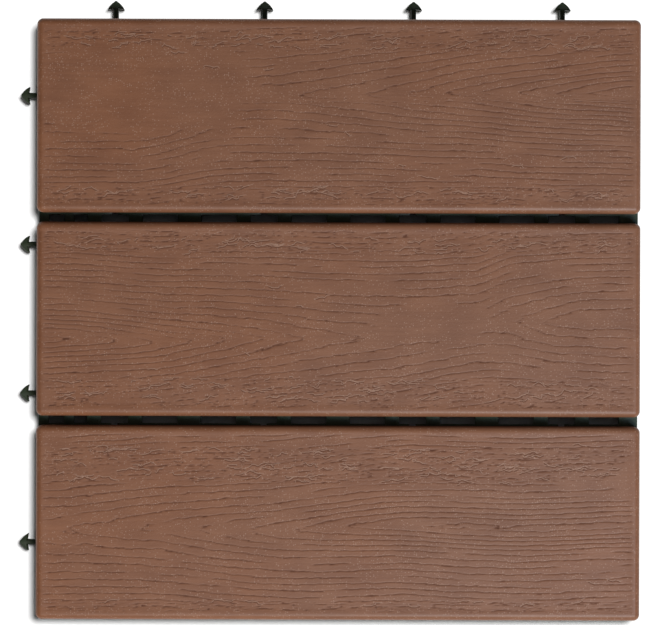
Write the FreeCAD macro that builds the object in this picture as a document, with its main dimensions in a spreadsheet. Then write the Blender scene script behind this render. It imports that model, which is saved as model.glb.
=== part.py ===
import FreeCAD, Part
import math
import os

import Sketcher
from FreeCAD import Vector

# Interlocking deck tile. Three moulded slats lie side by side on one moulded plastic lattice, and
# hooks under the slats catch its bars. Arrow-shaped plugs on the rear and left sides of the
# lattice seat in the sockets that the neighbouring tiles have on their front and right sides.
# Millimetres, +Z up. The origin is the middle of the tile on its underside. Slats run along X.

# Driving dimensions: alias, value, meaning.
SIZES = (
    ("slat_length", 299.0, "slat, along X"),
    ("slat_width", 96.0, "slat, along Y"),
    ("slat_height", 12.0, "slat, from the lattice to the walking face"),
    ("slat_gap", 4.75, "gap between the long sides of two slats"),
    ("end_seam", 1.0, "gap between the ends of slats on neighbouring tiles"),
    ("side_seam", 2.5, "gap between the long sides of slats on neighbouring tiles"),
    ("slat_rounding", 3.0, "radius of a slat's corners and upper edges"),
    ("slat_skin", 3.6, "thickness of a slat's top"),
    ("slat_skirt", 3.0, "thickness of a slat's side walls"),
    ("slat_rib", 2.4, "thickness of the ribs under a slat"),
    ("base_height", 13.0, "lattice, from the ground to the slats"),
    ("base_corner", 3.0, "radius of the lattice's corners"),
    ("base_seam", 2.6, "gap between the lattices of two tiles"),
    ("rim_wall", 2.0, "thickness of the lattice's outer wall"),
    ("rim_strip", 5.0, "width of the top strip along the plug sides"),
    ("drain_lift", 2.5, "how far the webs and drain notches clear the ground"),
    ("drain_width", 30.0, "length of a drain notch in the outer wall"),
    ("bar_thickness", 2.2, "thickness of the lattice's top bars"),
    ("bar_wide", 11.6, "width of the main bars"),
    ("bar_narrow", 7.0, "width of the other bars"),
    ("bar_offset", 10.2, "narrow bar, from the middle line of a plug"),
    ("bearer_offset", 24.0, "bearer, from the middle line of its slat"),
    ("edge_bearer", 4.9, "edge bearer, from the middle line of the gap beside it"),
    ("stiffener_inset", 15.1, "stiffening bar, from the outer wall's plug side"),
    ("stiffener_width", 5.0, "width of the stiffening bar"),
    ("web", 1.8, "thickness of the webs under the bars"),
    ("foot_length", 9.0, "foot under a main bar, along Y"),
    ("keyhole_slot", 3.0, "slot through an edge bearer, in line with a plug"),
    ("plug_pitch", 74.0, "distance between two plugs"),
    ("plug_neck", 2.5, "width of a plug's neck"),
    ("plug_head", 8.4, "width of a plug's head"),
    ("plug_point", 4.3, "length of a plug's head"),
    ("plug_sweep", 0.5, "how far the barbs lean back"),
    ("plug_flank", 9.0, "radius of the head's bulging flanks"),
    ("plug_nose", 0.85, "half width of the rounded nose"),
    ("plug_nose_radius", 1.0, "radius of the rounded nose"),
    ("plug_lift", 1.0, "gap under a plug"),
    ("plug_chamfer", 0.5, "chamfer along a plug's upper edges"),
    ("plug_play", 0.5, "slack between the barbs and the socket's wall"),
    ("neck_clearance", 0.3, "gap on each side of a neck in its slot"),
    ("head_clearance", 0.6, "gap round a head in its pocket"),
    ("top_clearance", 0.5, "gap over a plug in its socket"),
    ("hook_thickness", 2.0, "thickness of a hook under a slat"),
    ("hook_width", 8.0, "width of a hook, along Y"),
    ("hook_clearance", 0.25, "gap between a hook and its bar"),
    ("hook_catch", 1.2, "how far a hook reaches under its bar"),
    ("hook_barb", 1.8, "height of a hook's barb"),
    ("hook_lip", 0.5, "height of the straight edge of the barb"),
)

SLAT_ROWS = (("slat_front", -1), ("slat_middle", 0), ("slat_rear", 1))
PLUGS_A_SIDE = 4
CROSS_RIBS = 2 * PLUGS_A_SIDE - 1
# How far a cut runs past what it cuts, as a share of its thickness.
PAST = 0.25
# Two places closer than this are the same.
TOUCH = 0.01

# Places worked out from the driving dimensions. Each may use those above it.
LAYOUT = (
    ("slat_pitch", "Sizes.slat_width + Sizes.slat_gap"),
    ("tile_x", "Sizes.slat_length + Sizes.end_seam"),
    ("tile_y", f"{len(SLAT_ROWS)} * Layout.slat_pitch - Sizes.slat_gap + Sizes.side_seam"),
    ("right", "(Layout.tile_x - Sizes.base_seam) / 2"),
    ("left", "-Layout.right"),
    ("rear", "(Layout.tile_y - Sizes.base_seam) / 2"),
    ("front", "-Layout.rear"),
    ("bar_under", "Sizes.base_height - Sizes.bar_thickness"),
    ("first_plug", f"-{(PLUGS_A_SIDE - 1) / 2} * Sizes.plug_pitch"),
    ("neck_length", "Sizes.base_seam + Sizes.rim_wall + Sizes.plug_play"),
    ("nose_drop", "Sizes.plug_nose_radius - sqrt(Sizes.plug_nose_radius ^ 2 - Sizes.plug_nose ^ 2)"),
    ("plug_top", "Layout.bar_under - Sizes.top_clearance"),
    ("pocket_depth", "Sizes.plug_play + Sizes.plug_point + Sizes.head_clearance"),
    ("pocket_half", "Sizes.plug_head / 2 + Sizes.head_clearance"),
    ("socket_strip", "Sizes.rim_wall + Layout.pocket_depth + Sizes.web"),
    ("edge_bearer_y", "Layout.slat_pitch / 2 + Sizes.edge_bearer"),
    ("hook_face", "Sizes.bar_narrow / 2 + Sizes.hook_clearance"),
    ("hook_ledge", "-(Sizes.bar_thickness + Sizes.hook_clearance)"),
)

# Where a cut through the outer wall starts and ends, outward from the wall's face.
THROUGH_WALL = (f"-{1 + PAST} * Sizes.rim_wall", f"{PAST} * Sizes.rim_wall")

doc = FreeCAD.newDocument("deck_tile")


def write_sizes():
    """Fills the sheet of driving dimensions."""
    sheet = doc.addObject("Spreadsheet::Sheet", "Sizes")
    for row, (alias, value, meaning) in enumerate(SIZES, start=1):
        sheet.set(f"A{row}", meaning)
        sheet.set(f"B{row}", str(value))
        sheet.setAlias(f"B{row}", alias)
    doc.recompute()


def write_layout():
    """Binds the places that several pieces share."""
    layout = doc.addObject("App::VarSet", "Layout")
    for name, formula in LAYOUT:
        layout.addProperty("App::PropertyFloat", name, "Layout")
        layout.setExpression(name, formula)
        doc.recompute()


def new_body(label):
    """Starts the body of one piece."""
    body = doc.addObject("PartDesign::Body", label)
    body.Label = label
    return body


def origin_feature(body, role):
    """Finds a plane or an axis of a body's own origin."""
    return next(item for item in body.Origin.OriginFeatures if item.Role == role)


def new_sketch(body, name, plane="XY_Plane", height=None):
    """Makes a sketch on an origin plane, raised by a formula where one is given."""
    sketch = body.newObject("Sketcher::SketchObject", name)
    sketch.AttachmentSupport = [(origin_feature(body, plane), "")]
    sketch.MapMode = "FlatFace"
    if height:
        sketch.setExpression("AttachmentOffset.Base.z", height)
    return sketch


def value_of(sketch, formula):
    """Works a formula out as a plain number."""
    return float(sketch.evalExpression(formula))


def hold(sketch, constraints):
    """Adds constraints to a sketch at once. Each is (constraint, formula), or (constraint, None)."""
    bound = sketch.addConstraint([constraint for constraint, _ in constraints])
    for index, (_, formula) in zip(bound, constraints):
        if formula:
            sketch.setExpression(f"Constraints[{index}]", formula)


def point_at(sketch, geometry, position, x, y):
    """Constraints that hold one point of a sketch at two formulas."""
    held = []
    for kind, formula in (("DistanceX", x), ("DistanceY", y)):
        value = value_of(sketch, formula)
        held.append((Sketcher.Constraint(kind, -1, 1, geometry, position, value), formula))
    return held


def arc_between(start, end, radius):
    """Arc that bulges to the right of the way from start to end."""
    chord = end - start
    to_centre = Vector(-chord.y, chord.x, 0).normalize()
    rise = math.sqrt(max(radius**2 - (chord.Length / 2) ** 2, 0.0))
    middle = (start + end) / 2 + to_centre * (rise - radius)
    return Part.Arc(start, middle, end)


def draw_outline(sketch, corners):
    """Draws a closed outline, anticlockwise: (x, y), or (x, y, radius) where an arc follows."""
    points = [Vector(value_of(sketch, c[0]), value_of(sketch, c[1]), 0) for c in corners]
    shapes = []
    for index, corner in enumerate(corners):
        start = points[index]
        end = points[(index + 1) % len(points)]
        if len(corner) == 3:
            shapes.append(arc_between(start, end, value_of(sketch, corner[2])))
        else:
            shapes.append(Part.LineSegment(start, end))
    edges = sketch.addGeometry(shapes)
    held = []
    for index, corner in enumerate(corners):
        held.append((Sketcher.Constraint("Coincident", edges[index - 1], 2, edges[index], 1), None))
        held += point_at(sketch, edges[index], 1, corner[0], corner[1])
        if len(corner) == 3:
            radius = value_of(sketch, corner[2])
            held.append((Sketcher.Constraint("Radius", edges[index], radius), corner[2]))
    hold(sketch, held)


def draw_rectangle(sketch, low_x, high_x, low_y, high_y):
    """Draws a rectangle between four formulas."""
    draw_outline(sketch, ((low_x, low_y), (high_x, low_y), (high_x, high_y), (low_x, high_y)))


def extrude(body, kind, sketch, length, upward=False, both_ways=False):
    """Pads or pockets a sketch by a formula. A pocket goes down unless it is turned upward."""
    feature = body.newObject("PartDesign::" + kind, f"{sketch.Name}_{kind.lower()}")
    feature.Profile = sketch
    feature.Reversed = upward
    feature.SideType = "Symmetric" if both_ways else "One side"
    feature.setExpression("Length", length)
    body.Tip = feature
    return feature


def repeat(body, feature, rows):
    """Repeats a feature along one or two axes. A row is (axis, count, step)."""
    pattern = body.newObject("PartDesign::LinearPattern", feature.Name + "_rows")
    pattern.Originals = [feature]
    for suffix, (axis, count, step) in zip(("", "2"), rows):
        setattr(pattern, "Direction" + suffix, (origin_feature(body, axis + "_Axis"), [""]))
        setattr(pattern, "Mode" + suffix, "Spacing")
        setattr(pattern, "Occurrences" + suffix, count)
        pattern.setExpression("Offset" + suffix, step)
    body.Tip = pattern


def round_edges(body, kind, name, size, test):
    """Fillets or chamfers, by a formula, the edges of a body whose bounding box passes a test."""
    doc.recompute()
    base = body.Tip
    edges = [f"Edge{i}" for i, edge in enumerate(base.Shape.Edges, start=1) if test(edge.BoundBox)]
    feature = body.newObject("PartDesign::" + kind, name)
    feature.Base = (base, edges)
    feature.setExpression("Radius" if kind == "Fillet" else "Size", size)
    body.Tip = feature


def slat_block(body):
    """Slat: a block with rounded corners and upper edges."""
    outline = new_sketch(body, body.Name + "_outline")
    half_x = "Sizes.slat_length / 2"
    half_y = "Sizes.slat_width / 2"
    draw_rectangle(outline, f"-{half_x}", half_x, f"-{half_y}", half_y)
    extrude(body, "Pad", outline, "Sizes.slat_height")
    name = body.Name + "_rounding"
    round_edges(
        body, "Fillet", name, "Sizes.slat_rounding", lambda box: box.ZMax > doc.Sizes.slat_height / 2
    )


def slat_hollow(body):
    """Slat: the hollow underside, open below."""
    hollow = new_sketch(body, body.Name + "_hollow")
    half_x = "(Sizes.slat_length / 2 - Sizes.slat_skirt)"
    half_y = "(Sizes.slat_width / 2 - Sizes.slat_skirt)"
    draw_rectangle(hollow, f"-{half_x}", half_x, f"-{half_y}", half_y)
    extrude(body, "Pocket", hollow, "Sizes.slat_height - Sizes.slat_skin", upward=True)


def slat_ribs(body):
    """Slat: long ribs over the lattice's bearers, and cross ribs."""
    into_skin = "Sizes.slat_height - Sizes.slat_skin / 2"
    end_x = "(Sizes.slat_length / 2 - Sizes.slat_skirt / 2)"
    end_y = "(Sizes.slat_width / 2 - Sizes.slat_skirt / 2)"
    half = "Sizes.slat_rib / 2"

    long_rib = new_sketch(body, body.Name + "_long_rib")
    line = "-Sizes.bearer_offset"
    draw_rectangle(long_rib, f"-{end_x}", end_x, f"{line} - {half}", f"{line} + {half}")
    repeat(body, extrude(body, "Pad", long_rib, into_skin), [("Y", 2, "2 * Sizes.bearer_offset")])

    cross_rib = new_sketch(body, body.Name + "_cross_rib")
    line = "Layout.first_plug"
    draw_rectangle(cross_rib, f"{line} - {half}", f"{line} + {half}", f"-{end_y}", end_y)
    repeat(body, extrude(body, "Pad", cross_rib, into_skin), [("X", CROSS_RIBS, "Sizes.plug_pitch / 2")])


def draw_hook(sketch, line, side):
    """Outline of a hook on one side of a bar. Its barb has a sloping underside, to snap in."""
    face = f"{line} + {side} * Layout.hook_face"
    back = f"{line} + {side} * (Layout.hook_face + Sizes.hook_thickness)"
    tip = f"{line} + {side} * (Sizes.bar_narrow / 2 - Sizes.hook_catch)"
    root = "Sizes.slat_height - Sizes.slat_skin / 2"
    foot = "Layout.hook_ledge - Sizes.hook_barb"
    corners = (
        (back, foot),
        (back, root),
        (face, root),
        (face, "Layout.hook_ledge"),
        (tip, "Layout.hook_ledge"),
        (tip, "Layout.hook_ledge - Sizes.hook_lip"),
        (face, foot),
    )
    draw_outline(sketch, corners)


def slat_hooks(body):
    """Slat: pairs of hooks that straddle the outer and the inner narrow bars, under its middle line."""
    hooks = new_sketch(body, body.Name + "_hooks", plane="XZ_Plane")
    for place, line in enumerate(plug_lines()):
        outward = "-" if place % 2 == 0 else "+"
        for side in (-1, 1):
            draw_hook(hooks, f"{line} {outward} Sizes.bar_offset", side)
    extrude(body, "Pad", hooks, "Sizes.hook_width", both_ways=True)


def make_slat():
    """The slat, with the origin under its middle, level with the top of the lattice."""
    body = new_body("slat")
    slat_block(body)
    slat_hollow(body)
    slat_ribs(body)
    slat_hooks(body)
    return body


def lay_slat(slat, label, row):
    """One of the like slats, lying on the lattice in its row."""
    laid = doc.addObject("App::Link", label)
    laid.Label = label
    laid.LinkedObject = slat
    laid.setExpression("Placement.Base.y", f"{row} * Layout.slat_pitch")
    laid.setExpression("Placement.Base.z", "Sizes.base_height")
    return laid


def base_rim(body):
    """Lattice: the outer wall with rounded corners, and the flat strip round its top."""
    within_wall = (
        "Layout.left + Sizes.rim_wall",
        "Layout.right - Sizes.rim_wall",
        "Layout.front + Sizes.rim_wall",
        "Layout.rear - Sizes.rim_wall",
    )
    within_strip = (
        "Layout.left + Sizes.rim_strip",
        "Layout.right - Layout.socket_strip",
        "Layout.front + Layout.socket_strip",
        "Layout.rear - Sizes.rim_strip",
    )
    block = new_sketch(body, "rim_block")
    draw_rectangle(block, "Layout.left", "Layout.right", "Layout.front", "Layout.rear")
    extrude(body, "Pad", block, "Sizes.base_height")
    round_edges(body, "Fillet", "rim_corners", "Sizes.base_corner", lambda box: box.ZLength > 1)
    below_strip = new_sketch(body, "below_strip")
    draw_rectangle(below_strip, *within_wall)
    extrude(body, "Pocket", below_strip, "Layout.bar_under", upward=True)
    inside = new_sketch(body, "inside_strip", height="Sizes.base_height")
    draw_rectangle(inside, *within_strip)
    extrude(body, "Pocket", inside, "2 * Sizes.bar_thickness")


def draw_single_web_bar(sketch, line, width):
    """Section of a bar with one web under its middle. Across is the sketch's x, up is its y."""
    web = "Sizes.web / 2"
    half = f"{width} / 2"
    corners = (
        (f"{line} - {web}", "Sizes.drain_lift"),
        (f"{line} + {web}", "Sizes.drain_lift"),
        (f"{line} + {web}", "Layout.bar_under"),
        (f"{line} + {half}", "Layout.bar_under"),
        (f"{line} + {half}", "Sizes.base_height"),
        (f"{line} - {half}", "Sizes.base_height"),
        (f"{line} - {half}", "Layout.bar_under"),
        (f"{line} - {web}", "Layout.bar_under"),
    )
    draw_outline(sketch, corners)


def draw_twin_web_bar(sketch, line, width):
    """Section of a bar with a web under each of its edges."""
    outer = f"{width} / 2"
    inner = f"({width} / 2 - Sizes.web)"
    corners = (
        (f"{line} - {outer}", "Sizes.drain_lift"),
        (f"{line} - {inner}", "Sizes.drain_lift"),
        (f"{line} - {inner}", "Layout.bar_under"),
        (f"{line} + {inner}", "Layout.bar_under"),
        (f"{line} + {inner}", "Sizes.drain_lift"),
        (f"{line} + {outer}", "Sizes.drain_lift"),
        (f"{line} + {outer}", "Sizes.base_height"),
        (f"{line} - {outer}", "Sizes.base_height"),
    )
    draw_outline(sketch, corners)


def free_sketch(name, plane="XY"):
    """Makes a sketch of its own, in the ground plane or upright: XZ from the front, YZ from the right."""
    sketch = doc.addObject("Sketcher::SketchObject", name)
    turns = {"XY": (0, 0, 0), "XZ": (0, 0, 90), "YZ": (90, 0, 90)}
    sketch.Placement = FreeCAD.Placement(Vector(0, 0, 0), FreeCAD.Rotation(*turns[plane]))
    return sketch


def free_extrusion(sketch, forward, backward="0"):
    """Extrudes a sketch both ways along its normal, by formulas."""
    solid = doc.addObject("Part::Extrusion", sketch.Name + "_solid")
    solid.Base = sketch
    solid.DirMode = "Normal"
    solid.Solid = True
    solid.setExpression("LengthFwd", forward)
    solid.setExpression("LengthRev", backward)
    return solid


def plug_lines():
    """Formulas for the middle lines of the plugs of a side."""
    return [f"Layout.first_plug + {place} * Sizes.plug_pitch" for place in range(PLUGS_A_SIDE)]


def row_lines():
    """Formulas for the middle lines of the slats."""
    return [f"{row} * Layout.slat_pitch" for _, row in SLAT_ROWS]


def main_lines():
    """Formulas for the middle lines of the main bars, half way between the plugs."""
    return [f"{line} + Sizes.plug_pitch / 2" for line in plug_lines()[:-1]]


def bars_across():
    """Lattice: the bars that run front to back, across the slats."""
    sketch = free_sketch("bars_across", "XZ")
    for line in plug_lines():
        draw_single_web_bar(sketch, f"{line} - Sizes.bar_offset", "Sizes.bar_narrow")
        draw_single_web_bar(sketch, f"{line} + Sizes.bar_offset", "Sizes.bar_narrow")
    for line in main_lines():
        draw_twin_web_bar(sketch, line, "Sizes.bar_wide")
    draw_single_web_bar(sketch, "Layout.left + Sizes.stiffener_inset", "Sizes.stiffener_width")
    wall = "Sizes.rim_wall / 2"
    return free_extrusion(sketch, f"-Layout.front - {wall}", f"Layout.rear - {wall}")


def bars_along():
    """Lattice: the bearers that run left to right, under the slats' long ribs and inner edges."""
    sketch = free_sketch("bars_along", "YZ")
    for row in row_lines():
        for side in (-1, 1):
            draw_single_web_bar(sketch, f"{row} + {side} * Sizes.bearer_offset", "Sizes.bar_narrow")
    for line in ("-Layout.edge_bearer_y", "Layout.edge_bearer_y"):
        draw_single_web_bar(sketch, line, "Sizes.bar_narrow")
    wall = "Sizes.rim_wall / 2"
    return free_extrusion(sketch, f"Layout.right - {wall}", f"-Layout.left - {wall}")


def base_socket_webs(body):
    """Lattice: the web behind the socket pockets, along the right side and along the front."""
    webs = new_sketch(body, "socket_webs", height="Sizes.drain_lift")
    back_x = "Layout.right - Layout.socket_strip"
    back_y = "Layout.front + Layout.socket_strip"
    rear_end = "Layout.rear - Sizes.rim_wall / 2"
    left_end = "Layout.left + Sizes.rim_wall / 2"
    corners = (
        (back_x, rear_end),
        (back_x, back_y),
        (left_end, back_y),
        (left_end, f"{back_y} - Sizes.web"),
        (f"{back_x} + Sizes.web", f"{back_y} - Sizes.web"),
        (f"{back_x} + Sizes.web", rear_end),
    )
    draw_outline(webs, corners)
    extrude(body, "Pad", webs, "Layout.bar_under - Sizes.drain_lift + Sizes.bar_thickness / 2")


def feet():
    """Lattice: feet under the main bars, in line with the slats' middles and the edge bearers."""
    sketch = free_sketch("feet")
    half_x = "Sizes.bar_wide / 2"
    half_y = "Sizes.foot_length / 2"
    for x in main_lines():
        for y in (*row_lines(), "-Layout.edge_bearer_y", "Layout.edge_bearer_y"):
            run_x = (f"{x} - {half_x}", f"{x} + {half_x}")
            run_y = (f"{y} - {half_y}", f"{y} + {half_y}")
            draw_rectangle(sketch, *run_x, *run_y)
    return free_extrusion(sketch, "Layout.bar_under + Sizes.bar_thickness / 2")


def keyholes():
    """Lattice: what is cut from the edge bearers, in line with the plugs."""
    sketch = free_sketch("keyholes")
    half = "Sizes.keyhole_slot / 2"
    reach = f"{0.5 + PAST} * Sizes.bar_narrow"
    for x in plug_lines():
        for y in ("-Layout.edge_bearer_y", "Layout.edge_bearer_y"):
            draw_rectangle(sketch, f"{x} - {half}", f"{x} + {half}", f"{y} - {reach}", f"{y} + {reach}")
    return free_extrusion(sketch, "2 * Sizes.base_height")


def on_side(side, across, outward):
    """Place beside the first plug of a side: across it, and outward from the outer wall's face."""
    along = f"Layout.first_plug + {across}"
    places = {
        "rear": (along, f"Layout.rear + {outward}"),
        "left": (f"Layout.left - ({outward})", along),
        "front": (along, f"Layout.front - ({outward})"),
        "right": (f"Layout.right + {outward}", along),
    }
    return places[side]


def run_of_side(side, count):
    """Row that repeats a feature along a side at the plugs' pitch."""
    axis = "X" if side in ("front", "rear") else "Y"
    return [(axis, count, "Sizes.plug_pitch")]


def base_plugs(body, side):
    """Lattice: the arrow-shaped plugs of one side."""
    neck = "Sizes.plug_neck / 2"
    head = "Sizes.plug_head / 2"
    nose = "Sizes.plug_nose"
    root = "-Sizes.rim_wall / 2"
    barb = "Layout.neck_length"
    notch = "Layout.neck_length + Sizes.plug_sweep"
    shoulder = "Layout.neck_length + Sizes.plug_point - Layout.nose_drop"
    corners = (
        on_side(side, f"-{neck}", root),
        on_side(side, neck, root),
        on_side(side, neck, notch),
        (*on_side(side, head, barb), "Sizes.plug_flank"),
        (*on_side(side, nose, shoulder), "Sizes.plug_nose_radius"),
        (*on_side(side, f"-{nose}", shoulder), "Sizes.plug_flank"),
        on_side(side, f"-{head}", barb),
        on_side(side, f"-{neck}", notch),
    )
    sketch = new_sketch(body, side + "_plug", height="Sizes.plug_lift")
    draw_outline(sketch, corners)
    plug = extrude(body, "Pad", sketch, "Layout.plug_top - Sizes.plug_lift")
    repeat(body, plug, run_of_side(side, PLUGS_A_SIDE))


def draw_block_on_side(sketch, side, across, outward):
    """Draws a rectangle from two places across and two outward."""
    near, far = outward
    low, high = across
    places = ((low, near), (high, near), (high, far), (low, far))
    draw_outline(sketch, [on_side(side, *place) for place in places])


def base_sockets(body, side):
    """Lattice: the sockets of one side, each a slot through the wall between two cheeks."""
    near = "Layout.pocket_half"
    far = "(Layout.pocket_half + Sizes.web)"
    within = ("-(Layout.socket_strip - Sizes.web / 2)", "-Sizes.rim_wall / 2")
    cheeks = new_sketch(body, side + "_socket_cheeks", height="Sizes.drain_lift")
    draw_block_on_side(cheeks, side, (f"-{far}", f"-{near}"), within)
    draw_block_on_side(cheeks, side, (near, far), within)
    height = "Layout.bar_under - Sizes.drain_lift + Sizes.bar_thickness / 2"
    repeat(body, extrude(body, "Pad", cheeks, height), run_of_side(side, PLUGS_A_SIDE))

    half = "(Sizes.plug_neck / 2 + Sizes.neck_clearance)"
    slot = new_sketch(body, side + "_socket_slot")
    draw_block_on_side(slot, side, (f"-{half}", half), THROUGH_WALL)
    cut = extrude(body, "Pocket", slot, "Layout.bar_under", upward=True)
    repeat(body, cut, run_of_side(side, PLUGS_A_SIDE))


def base_drains(body, side):
    """Lattice: low notches in the outer wall, between the plugs or sockets, that let water out."""
    middle = "Sizes.plug_pitch / 2"
    half = "Sizes.drain_width / 2"
    notch = new_sketch(body, side + "_drain")
    draw_block_on_side(notch, side, (f"({middle} - {half})", f"({middle} + {half})"), THROUGH_WALL)
    cut = extrude(body, "Pocket", notch, "Sizes.drain_lift", upward=True)
    repeat(body, cut, run_of_side(side, PLUGS_A_SIDE - 1))


def on_plug_top(box):
    """True for the upper edges of the plugs, outside the outer wall."""
    top = doc.Layout.plug_top
    level = box.ZLength < TOUCH and abs(box.ZMin - top) < TOUCH
    outside = box.Center.x < doc.Layout.left - TOUCH or box.Center.y > doc.Layout.rear + TOUCH
    return level and outside


def make_rim():
    """Lattice: everything round its outer wall, as one body."""
    body = new_body("rim")
    base_rim(body)
    base_socket_webs(body)
    for side in ("front", "right"):
        base_sockets(body, side)
    for side in ("rear", "left", "front", "right"):
        base_drains(body, side)
    for side in ("rear", "left"):
        base_plugs(body, side)
    round_edges(body, "Chamfer", "plug_chamfers", "Sizes.plug_chamfer", on_plug_top)
    return body


def make_base():
    """The moulded lattice: rim, bars and feet in one, less the keyholes."""
    lattice = doc.addObject("Part::MultiFuse", "lattice")
    lattice.Shapes = [make_rim(), bars_across(), bars_along(), feet()]
    lattice.Refine = False
    base = doc.addObject("Part::Cut", "base_grid")
    base.Label = "base_grid"
    base.Base = lattice
    base.Tool = keyholes()
    base.Refine = True
    return base


def check_document():
    """Stops where an object has failed, or where a pad or pocket has not changed its body."""
    for item in doc.Objects:
        if {"Invalid", "Error"} & set(item.State):
            raise RuntimeError(f"{item.Name} failed: {item.State} {item.getStatusString()}")
        if item.TypeId in ("PartDesign::Pad", "PartDesign::Pocket") and item.BaseFeature:
            gain = item.Shape.Volume - item.BaseFeature.Shape.Volume
            if gain * (1 if item.TypeId.endswith("Pad") else -1) <= 0:
                raise RuntimeError(f"{item.Name} changed nothing")


def write_pieces(pieces):
    """Checks every piece and writes it to the file that its label names."""
    os.makedirs("parts", exist_ok=True)
    for piece in pieces:
        shape = Part.getShape(piece)
        if shape.isNull() or not shape.isValid():
            raise RuntimeError(f"{piece.Label} has no valid shape")
        box = shape.BoundBox
        print(f"{piece.Label}: {len(shape.Solids)} solids, {len(shape.Faces)} faces, {shape.Volume / 1000:.2f} cm3")
        print(f"  x {box.XMin:.2f} to {box.XMax:.2f}, y {box.YMin:.2f} to {box.YMax:.2f}")
        print(f"  z {box.ZMin:.2f} to {box.ZMax:.2f}")
        shape.exportStep(f"parts/{piece.Label}.step")


write_sizes()
write_layout()
SLAT = make_slat()
PIECES = [lay_slat(SLAT, label, row) for label, row in SLAT_ROWS]
PIECES.append(make_base())
doc.recompute()
check_document()
write_pieces(PIECES)
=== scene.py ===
"""Dresses an interlocking deck tile: three grained slats on a dark moulded lattice, over a pale floor."""

import logging
import math
from dataclasses import dataclass, field, fields
from enum import Enum
from typing import Any, Optional, Union

import bmesh
import bpy
from bmesh.types import BMesh
from bpy.types import ID, Collection, Material, Modifier, Node, NodeSocket, NodeTree, Object
from mathutils import Euler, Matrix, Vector


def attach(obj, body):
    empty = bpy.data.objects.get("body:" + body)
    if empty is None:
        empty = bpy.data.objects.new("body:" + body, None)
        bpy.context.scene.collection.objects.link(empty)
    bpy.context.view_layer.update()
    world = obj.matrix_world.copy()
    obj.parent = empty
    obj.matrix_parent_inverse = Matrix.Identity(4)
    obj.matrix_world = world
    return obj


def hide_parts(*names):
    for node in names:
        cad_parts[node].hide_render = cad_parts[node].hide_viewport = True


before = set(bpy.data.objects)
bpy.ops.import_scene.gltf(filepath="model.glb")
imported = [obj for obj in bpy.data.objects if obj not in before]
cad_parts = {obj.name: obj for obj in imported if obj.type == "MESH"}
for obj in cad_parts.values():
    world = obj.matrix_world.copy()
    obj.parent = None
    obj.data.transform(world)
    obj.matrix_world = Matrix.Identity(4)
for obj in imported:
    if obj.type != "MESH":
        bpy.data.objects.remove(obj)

LOG = logging.getLogger("deck_tile")
BODY = "root"
MM = 0.001
PHOTO_WIDTH = 655
PHOTO_HEIGHT = 625

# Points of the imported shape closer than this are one, in metres.
POINT_JOIN = MM / 200.0
# The walking face meets its shell where points are closer than this, in metres.
RIM_JOIN = 0.00002
# Points this far below the top still belong to the walking face, in metres.
LEVEL_PLAY = MM / 100.0

# Noise runs from 0 to 1 about this.
NOISE_MIDDLE = 0.5
# Most swings on one side of a heart line.
SWELLS = 4

# Sockets of a Mix node that mixes colours.
MIX_SHARE, MIX_FIRST, MIX_SECOND, MIX_COLOUR = 0, 6, 7, 2
# Sockets of a Random Value node that gives plain numbers.
RANDOM_LOW, RANDOM_HIGH, RANDOM_NUMBER = 2, 3, 1

Colour = tuple[float, float, float, float]
Key = Union[str, int]
Number = Union["Wire", float, int]
Pair = tuple[float, float]
Place = tuple["Wire", "Wire", Number]
Sockets = Optional[dict[Key, Any]]
Triple = tuple[float, float, float]


class Mark(Enum):
    """What the points of a slat are marked with, for its finish: crests for a painted highlight, grooves for
    their depth and a painted shade.
    """

    CREST = "crest"
    GROOVE = "groove"


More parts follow.
